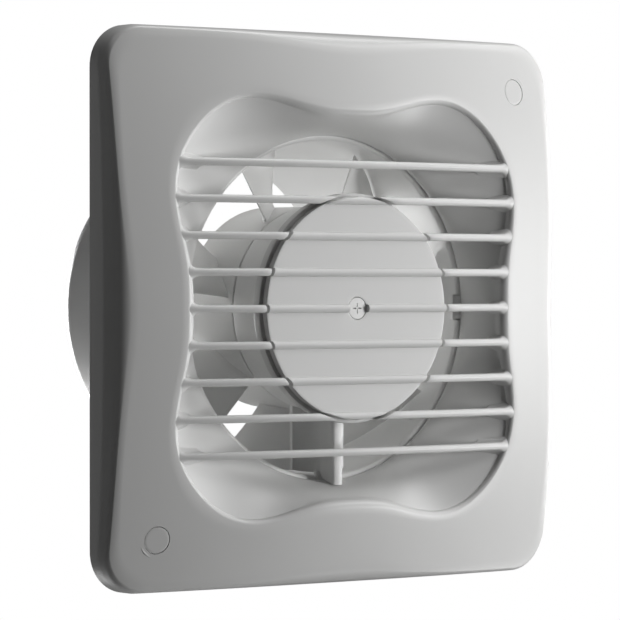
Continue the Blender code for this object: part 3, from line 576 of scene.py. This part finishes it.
def cover_profile(angle):
    """The cover's outer skin at one angle, from the rim at the wall round to the throat."""
    side = rounded_square(angle, COVER_HALF, COVER_CORNER)
    edge = dome(side, 0.0)
    along = side * min(abs(math.cos(angle)), abs(math.sin(angle)))
    inset = (1.65 + 3.0 * math.exp(-((along / (26 * MM)) ** 2))) * MM
    facet = side - (0.4 * MM + 0.6 * MM * math.exp(-((along / (30 * MM)) ** 2)))
    inner = side - inset
    corners = [(side - 0.3 * MM, RIM_HEIGHT), (side, RIM_HEIGHT + 0.3 * MM), (side, 0.585 * edge),
               (facet, 0.87 * edge), (inner, dome(inner, 0.0))]
    points = [corners[0], corners[1]]
    points.append((side, 0.585 * edge - 0.9 * MM))
    points += bent(points[-1], corners[2], (side + 0.3 * (facet - side), (0.585 + 0.3 * 0.285) * edge), 4)
    bend_start = (side + 0.8 * (facet - side), (0.585 + 0.8 * 0.285) * edge)
    points.append(bend_start)
    shoulder = (facet - 0.12 * (facet - inner), 0.97 * dome(facet, 0.0))
    points += bent(bend_start, shoulder, corners[4], 8)
    lip = opening(angle)
    for step in range(1, 9):
        radius = inner + (lip - inner) * step / 8
        points.append((radius, dome(radius, 0.0)))
    points += bent(points[-1], (lip - 0.8 * lip_width(angle), dome(lip, 0.0)), funnel_start(angle), 7)
    points += funnel_path(angle, 14)
    return points


def cover_angles(count):
    for i in range(count):
        turn = 2 * math.pi * i / count
        yield turn + 0.13 * math.sin(4 * turn)


def cover_skin():
    angles = list(cover_angles(256))
    profiles = [cover_profile(a) for a in angles]
    rows = []
    for step in range(len(profiles[0])):
        rows.append([(p[step][0] * math.cos(a), -p[step][1], p[step][0] * math.sin(a))
                     for a, p in zip(angles, profiles)])
    skin = drawn("cover_skin", rows)
    wall = skin.modifiers.new("wall", "SOLIDIFY")
    wall.thickness = COVER_WALL
    wall.offset = -1.0
    wall.use_even_offset = False
    take(skin)
    bpy.ops.object.modifier_apply(modifier=wall.name)
    return skin


def louvre_bar(level, side):
    """Half a bar on one side of the hub, or a whole one where side is 0: a rounded front on the dome,
    ends that spread into the funnel's lip like a fish tail, and inner ends that dip to clear the disc."""
    half, depth = 1.13 * MM, 5.0 * MM
    nose = [(half * math.sin(math.radians(a)), half * 0.9 * (1 - math.cos(math.radians(a))))
            for a in range(-90, 91, 18)]
    outline = nose + [(0.82 * half, depth - 0.25 * MM), (0.55 * half, depth), (-0.55 * half, depth),
                      (-0.82 * half, depth - 0.25 * MM)]

    def far_end(offset, drop):
        """The first place outwards that is half a millimetre into the funnel's wall."""
        z = level + offset
        x = 50.0 * MM
        while True:
            height = dome(x, level) - max(drop, 0.1 * MM)
            if math.hypot(x, z) >= funnel_radius(math.atan2(z, x), height) + 0.5 * MM:
                return x
            x += 0.1 * MM

    ends = [far_end(offset, drop) for offset, drop in outline]
    if side:
        inner = HUB_PLATE_RADIUS - 0.3 * MM
        starts = [math.sqrt(max(inner ** 2 - (level + offset) ** 2, 0.0)) for offset, _ in outline]
    else:
        starts = [-end for end in ends]
    tail = 3.2 * MM
    shares = [0.0, 0.02, 0.1, 0.3, 0.5, 0.7, 0.8, 0.86, 0.9, 0.93, 0.96, 0.98, 1.0]
    if not side:
        shares = [-s for s in reversed(shares[1:])] + shares
        shares = [(s + 1) / 2 for s in shares]
    rows = []
    for share in shares:
        row = []
        for (offset, drop), start, end in zip(outline, starts, ends):
            x = start + (end - start) * share
            near = max(0.0, 1 - (end - abs(x)) / tail)
            spread = 1 + 1.5 * near ** 3
            sunk = 0.06 * MM * near ** 2
            if side:
                near_hub = max(0.0, 1 - (x - start) / (0.5 * MM))
                sunk += 0.12 * MM * near_hub ** 2
            row.append(((side or 1) * x, -(dome(x, level) - drop - sunk), level + offset * spread))
        rows.append(row)
    return drawn("bar", rows, cap=True)


def hub_plate():
    """Round plate that carries the disc and joins the seven middle bars."""
    inside = HUB_PLATE_RADIUS - 1.4 * MM
    outline = [(HUB_PLATE_RADIUS, HUB_PLATE_TOP), (HUB_PLATE_RADIUS, 14.2 * MM), (inside, 14.2 * MM),
               (inside, 15.2 * MM), (2.0 * MM, 15.2 * MM), (2.0 * MM, HUB_PLATE_TOP)]
    return turned("hub_plate", softened(outline, 0.3 * MM), 160)


def cover_moulding(material):
    skin = cover_skin()
    for sign in (1, -1):
        centre = (sign * CAP_AT, sign * CAP_AT)
        combine(skin, rod(CAP_POCKET, 0.0, 30 * MM, centre, 64), "DIFFERENCE")
    parts = [skin, hub_plate()]
    for sign in (1, -1):
        centre = (sign * CAP_AT, sign * CAP_AT)
        top = dome(*centre) - 1.0 * MM
        tube = [(5.2 * MM, top), (5.2 * MM, 2.8 * MM), (1.8 * MM, 2.8 * MM),
                (1.8 * MM, 4.2 * MM), (CAP_POCKET, 4.2 * MM), (CAP_POCKET, top)]
        parts.append(turned("post", softened(tube, 0.25 * MM), 48, centre))
    for number, level in enumerate(BAR_LEVELS):
        for side in ((0,) if number in (0, 8) else (-1, 1)):
            parts.append(louvre_bar(level, side))
    cover = joined("cover_moulding", parts)
    return finish_piece(cover, material, "fan_body",
                        ["front_cover", "louvre_grille", "louvre_bar_top", "louvre_bar_bottom"])


# ---------------------------------------------------------------- disc, screw and caps

def centre_disc(material):
    """Round plate over the hub, its ridges carrying on the lines of the bars."""
    radius, front, rear = DISC_RADIUS, 19.3 * MM, 17.35 * MM
    outline = [(radius, rear), (3.3 * MM, rear), (3.3 * MM, front), (3.9 * MM, front),
               (radius - 0.8 * MM, front), (radius, front)]
    rounds = [size * MM for size in (0.1, 0.05, 0.05, 0.0, 0.0, 0.25)]
    parts = [turned("disc", rounded(outline, rounds, 4), 192)]
    bead, sink = 1.25 * MM, 0.05 * MM
    arc = [(bead * math.cos(math.radians(a)), bead * math.sin(math.radians(a)) + sink)
           for a in range(-12, 193, 12)]
    for level in BAR_LEVELS[1:-1]:
        spans = [(-1.0, 1.0)]
        if abs(level) < 1 * MM:
            spans = [(-1.0, -0.108), (0.108, 1.0)]
        for first, last in spans:
            rows = []
            for share in [i / 12 for i in range(13)]:
                row = []
                for offset, rise in arc:
                    reach = math.sqrt(max((radius - 0.25 * MM) ** 2 - (level + offset) ** 2, 0.0))
                    ends = [f * (reach if abs(f) == 1.0 else radius) for f in (first, last)]
                    x = ends[0] + (ends[1] - ends[0]) * share
                    row.append((x, -(front + rise), level + offset))
                rows.append(row)
            parts.append(drawn("ridge", rows, cap=True))
    disc = joined("centre_disc_ribbed", parts)
    return finish_piece(disc, material, "fan_body", ["centre_disc"])


def screw(name, node, centre, head_radius, head_top, head_rear, shank_radius, tip, material):
    """Cross-head screw: a barely crowned head, four tapered slots that stop short of its middle, a
    ridged shank and a blunt tip."""
    crown = [(0.0, head_top), (0.7 * head_radius, head_top), (head_radius - 0.12 * MM, head_top - 0.02 * MM),
             (head_radius, head_top - 0.12 * MM), (head_radius, head_rear), (shank_radius, head_rear)]
    thread = []
    height = head_rear - 0.4 * MM
    while height > tip + 1.2 * MM:
        thread += [(shank_radius, height), (0.82 * shank_radius, height - 0.25 * MM)]
        height -= 0.5 * MM
    profile = crown + thread + [(0.82 * shank_radius, tip + 0.9 * MM), (0.1 * shank_radius, tip)]
    body = turned(name, profile, 64, centre, closed=False)
    near, far, half = 0.09 * head_radius, 0.55 * head_radius, 0.068 * head_radius
    deep = 0.7 * (head_top - head_rear)
    for turn in range(4):
        tool = bar_of((near, -head_top - 0.3 * MM, -half), (far, deep - head_top, half))
        for vert in tool.data.vertices:
            if vert.co.y > 0.5 * deep - head_top:
                vert.co.x = near + 0.6 * (vert.co.x - near)
                vert.co.z = 0.6 * vert.co.z
        combine(body, swung(tool, turn * math.pi / 2, centre), "DIFFERENCE")
    return finish_piece(body, material, "fan_body", [node])


def cap(name, node, sign, material):
    """Press-in cap over a cover screw, flush with the dome and just chamfered."""
    centre = (sign * CAP_AT, sign * CAP_AT)
    profile = [(0.8, 0.0), (0.93, 0.0), (0.985, -0.05 * MM), (1.0, -0.16 * MM), (1.0, -2.6 * MM),
               (0.72, -2.6 * MM), (0.72, -1.2 * MM)]
    angles = [2 * math.pi * i / 64 for i in range(64)]
    rows = []
    for share, drop in profile:
        row = []
        for a in angles:
            x = centre[0] + share * CAP_RADIUS * math.cos(a)
            z = centre[1] + share * CAP_RADIUS * math.sin(a)
            row.append((x, -(dome(x, z) - 0.05 * MM + drop), z))
        rows.append(row)
    return finish_piece(drawn(name, rows, cap=True), material, "fan_body", [node])


# ---------------------------------------------------------------- impeller

BLADES = 7
HUB_RADIUS = 29.8 * MM
TIP_RADIUS = 47.9 * MM
BLADE_ROOT = 28.9 * MM
BLADE_START = math.radians(122.5)
SWEEP_AT_ROOT, SWEEP_AT_TIP = 24.0, 32.5  # degrees that a blade turns through, front to rear
BLADE_STEPS = 16


def fan_blade(start):
    """One blade: a thin cambered sheet that turns and falls away from its radial front edge, thicker
    at its root, with rounded edges and a filleted foot."""
    radii = [28.9, 29.9, 30.4, 31.2, 33.0, 36.0, 39.0, 42.0, 45.0, 47.5, 47.9]
    rows = []
    for number, radius in enumerate(r * MM for r in radii):
        outward = (radius - BLADE_ROOT) / (TIP_RADIUS - BLADE_ROOT)
        sweep = math.radians(SWEEP_AT_ROOT + (SWEEP_AT_TIP - SWEEP_AT_ROOT) * outward)
        front = -(2.6 + 1.0 * (1 - outward)) * MM
        rear = -(21.0 - 4.5 * (1 - outward)) * MM
        clear_of_hub = max(0.0, radius - HUB_RADIUS)
        foot = 1 + 1.4 * math.exp(-(clear_of_hub / (0.8 * MM)) ** 2)
        thin = 0.35 if number == len(radii) - 1 else 1.0
        upper, lower = [], []
        for i in range(BLADE_STEPS + 1):
            share = i / BLADE_STEPS
            height = front + (rear - front) * share
            turn = start - sweep * share ** 1.1
            half = (0.12 + 0.48 * math.sin(math.pi * share) ** 0.4) * foot * thin * MM
            pitch = math.atan2(sweep * radius, front - rear)
            around, along = half * math.cos(pitch) / radius, half * math.sin(pitch)
            upper.append((radius, turn - around, height + along))
            lower.append((radius, turn + around, height - along))
        rows.append([(r * math.cos(a), -h, r * math.sin(a)) for r, a, h in upper + lower[::-1]])
    blade = drawn("blade", rows)
    closed_strips(blade, rows)
    return blade


def closed_strips(obj, rows):
    """Closes both open ends of a drawn sheet with a strip of faces between its two sides."""
    take(obj)
    bpy.ops.object.mode_set(mode="EDIT")
    bpy.ops.mesh.select_all(action="DESELECT")
    bm = bmesh.from_edit_mesh(obj.data)
    for row in (rows[0], rows[-1]):
        ring = []
        for point in row:
            ring.append(min(bm.verts, key=lambda v: (v.co - Vector(point)).length_squared))
        for i in range(len(ring) // 2 - 1):
            corners = (ring[i], ring[i + 1], ring[-2 - i], ring[-1 - i])
            if len(set(corners)) == 4:
                bm.faces.new(corners)
    bmesh.update_edit_mesh(obj.data)
    bpy.ops.mesh.select_all(action="SELECT")
    bpy.ops.mesh.normals_make_consistent(inside=False)
    bpy.ops.object.mode_set(mode="OBJECT")


def impeller(material):
    """Hub cup with seven blades; the bore's boss and its stiffening webs are at the rear."""
    outline = [(29.8, -1.4), (29.8, -25.0), (28.2, -25.0), (28.2, -17.8), (5.5, -17.8), (5.5, -23.0),
               (2.3, -23.0), (2.3, -14.8), (5.5, -14.8), (5.5, -16.0), (28.2, -16.0), (28.2, -1.4)]
    rounds = [0.4, 0.6, 0.5, 1.0, 0.8, 0.4, 0.2, 0.2, 0.4, 0.6, 2.0, 0.4]
    points = [(r * MM, h * MM) for r, h in outline]
    parts = [turned("hub", rounded(points, [size * MM for size in rounds]), 168)]
    for i in range(BLADES):
        parts.append(fan_blade(BLADE_START + 2 * math.pi * i / BLADES))
    for i in range(6):
        web = bar_of((5.0 * MM, 17.5 * MM, -0.6 * MM), (15.0 * MM, 20.0 * MM, 0.6 * MM))
        for vert in web.data.vertices:
            if vert.co.x > 10 * MM and vert.co.y > 18.5 * MM:
                vert.co.y = 18.0 * MM
        parts.append(swung(bevelled(web, 0.2 * MM, 2), math.radians(60 * i)))
    moulding = joined("impeller_moulding", parts)
    return finish_piece(moulding, material, "rotor", ["impeller"], 40)


# ---------------------------------------------------------------- rear housing

def plate_outline(half, corner, steps=8):
    """A square with rounded corners, as (x, z) points."""
    points = []
    for quarter in range(4):
        start = quarter * math.pi / 2
        cx = (half - corner) * (1 if quarter in (0, 3) else -1)
        cz = (half - corner) * (1 if quarter in (0, 1) else -1)
        for step in range(steps + 1):
            a = start + step / steps * math.pi / 2
            points.append((cx + corner * math.cos(a), cz + corner * math.sin(a)))
    return points


def rear_housing(material):
    """Wall plate and duct spigot in one moulding, with a lead-in bead at the spigot's end."""
    front, bevel = 2.5 * MM, 0.4 * MM
    rows = []
    for inset, height in ((bevel, 0.0), (0.0, bevel), (0.0, front - bevel), (bevel, front)):
        rows.append([(x, -height, z) for x, z in plate_outline(74 * MM - inset, 9 * MM - inset)])
    plate = drawn("plate", rows, cap=True)
    combine(plate, rod(50.2 * MM, -2 * MM, 6 * MM, vertices=144), "DIFFERENCE")
    end = SPIGOT_END
    outline = [(52.4 * MM, 4.2 * MM), (52.4 * MM, 1.2 * MM), (50.6 * MM, 1.2 * MM), (50.6 * MM, 0.0),
               (49.1 * MM, 2.4 * MM - end), (48.6 * MM, -end), (47.4 * MM, -end), (49.0 * MM, 0.0),
               (49.0 * MM, 3.6 * MM), (49.7 * MM, 4.2 * MM)]
    duct = turned("duct", softened(outline, 0.45 * MM, 3), 144)
    combine(plate, duct, "UNION")
    holes = [(x, z, 2.3) for x in (-34, 34) for z in (-68, 68)] + [(46.0, -69.0, 4.8)]
    for x, z, radius in holes:
        combine(plate, rod(radius * MM, -1 * MM, 5 * MM, (x * MM, z * MM), 32), "DIFFERENCE")
    groove = turned("groove", [(64.9 * MM, 1.4 * MM), (64.9 * MM, -1.0 * MM), (60.1 * MM, -1.0 * MM),
                               (60.1 * MM, 1.4 * MM)], 144)
    combine(plate, groove, "DIFFERENCE")
    for angle in FEET:
        notch = bar_of((40 * MM, -6 * MM, -3.9 * MM), (56 * MM, -2.5 * MM, 3.9 * MM))
        combine(plate, swung(notch, -angle), "DIFFERENCE")
    plate.name = "rear_housing_moulding"
    return finish_piece(plate, material, "fan_body", ["rear_housing"], 30)


# ---------------------------------------------------------------- motor bracket

def strut_section():
    """The strut cut across: a narrow rounded nose whose sides curve out to a wide rear."""
    nose_half, foot, front, rear = 1.9 * MM, 9.3 * MM, 10.0 * MM, -1.2 * MM
    side = [(foot, rear), (foot, 0.2 * MM)]
    for step in range(1, 11):
        turn = step / 10 * math.pi / 2
        side.append((foot - (foot - nose_half) * math.sin(turn),
                     0.3 * MM + 5.6 * MM * (1 - math.cos(turn))))
    side += [(nose_half, front - 0.9 * MM)]
    side += bent(side[-1], (nose_half, front), (nose_half - 0.9 * MM, front), 4)
    return side + [(0.0, front)] + [(-x, h) for x, h in reversed(side)]


def strut():
    """The strut below the cup, from inside the cup's wall down to the funnel and the throat."""
    inner, throat_end = 28.5 * MM, 48.5 * MM
    rows = []
    for share in [i / 16 for i in range(17)]:
        row = []
        for x, height in strut_section():
            limit = funnel_radius(BOTTOM, height) if height > THROAT_HEIGHT else throat_end
            deepest = math.sqrt(max((limit - 0.4 * MM) ** 2 - x * x, 0.0))
            row.append((x, -height, -(inner + (deepest - inner) * share)))
        rows.append(row)
    return drawn("strut", rows, cap=True)


def motor_bracket(material):
    """Motor cup, strut and side ribs in one moulding, on three small feet behind the cover."""
    outline = [(30.0, 12.6), (30.0, -0.5), (28.2, -0.5), (28.2, 10.6), (1.6, 10.6), (1.6, 12.6)]
    rounds = [2.4, 0.4, 0.4, 1.2, 0.2, 0.3]
    points = [(r * MM, h * MM) for r, h in outline]
    parts = [turned("cup", rounded(points, [size * MM for size in rounds]), 144), strut()]
    for angle in FEET:
        foot = bar_of((47.5 * MM, -4.1 * MM, -3.5 * MM), (60.0 * MM, -2.8 * MM, 3.5 * MM))
        combine(foot, rod(1.6 * MM, 0.0, 8 * MM, (56.5 * MM, 0.0), 24), "DIFFERENCE")
        bevelled(foot, 0.3 * MM, 2)
        pieces = [foot]
        if angle != BOTTOM:  # the strut stands there instead of a rib
            rib = bar_of((29.2 * MM, -6.5 * MM, -1.0 * MM), (48.3 * MM, 1.2 * MM, 1.0 * MM))
            pieces.append(bevelled(rib, 0.5 * MM, 3))
        parts += [swung(piece, -angle) for piece in pieces]
    return finish_piece(joined("motor_bracket_moulding", parts), material, "fan_body",
                        ["motor_bracket"], 35)


# ---------------------------------------------------------------- build

add_camera()
add_studio()
add_duct_light()
pale_floor()
# One white ABS in two tones: the cover's darker tone is painted shade, the inner mouldings' lighter tone is
# painted light
satin = cover_abs()
plain = inner_abs()
cover_moulding(satin)
centre_disc(satin)
screw("centre_screw_slotted", "centre_screw", (0.0, 0.0), 3.17 * MM, 19.27 * MM, 18.4 * MM,
      1.5 * MM, 10.7 * MM,
      painted_steel())
cap("cap_upper", "screw_cap_upper", 1, satin)
cap("cap_lower", "screw_cap_lower", -1, satin)
impeller(plain)
rear_housing(plain)
motor_bracket(plain)
dress(["motor_screw_left", "motor_screw_right", "motor_shaft", "impeller_clip", "cover_screw_upper",
       "cover_screw_lower", "bracket_screw_right", "bracket_screw_left", "bracket_screw_bottom",
       "terminal_screw_left", "terminal_screw_right", "clamp_screw_upper", "clamp_screw_lower"], zinc_plate())
dress(["stator_core", "rotor_core"], core_steel())
dress(["coil_upper", "coil_lower"], enamelled_wire())
dress(["shading_ring_upper", "shading_ring_lower"], bare_copper())
dress(["bearing_bridge_front", "bearing_bridge_rear", "rotor_end_ring_front", "rotor_end_ring_rear"],
      cast_aluminium())
dress(["bearing_bush_front", "bearing_bush_rear"], sintered_bronze())
dress(["bobbin_upper", "bobbin_lower", "terminal_block", "cable_clamp"], natural_nylon())
dress(["cable_grommet"], grommet_rubber())
dress(["wall_seal"], seal_foam())
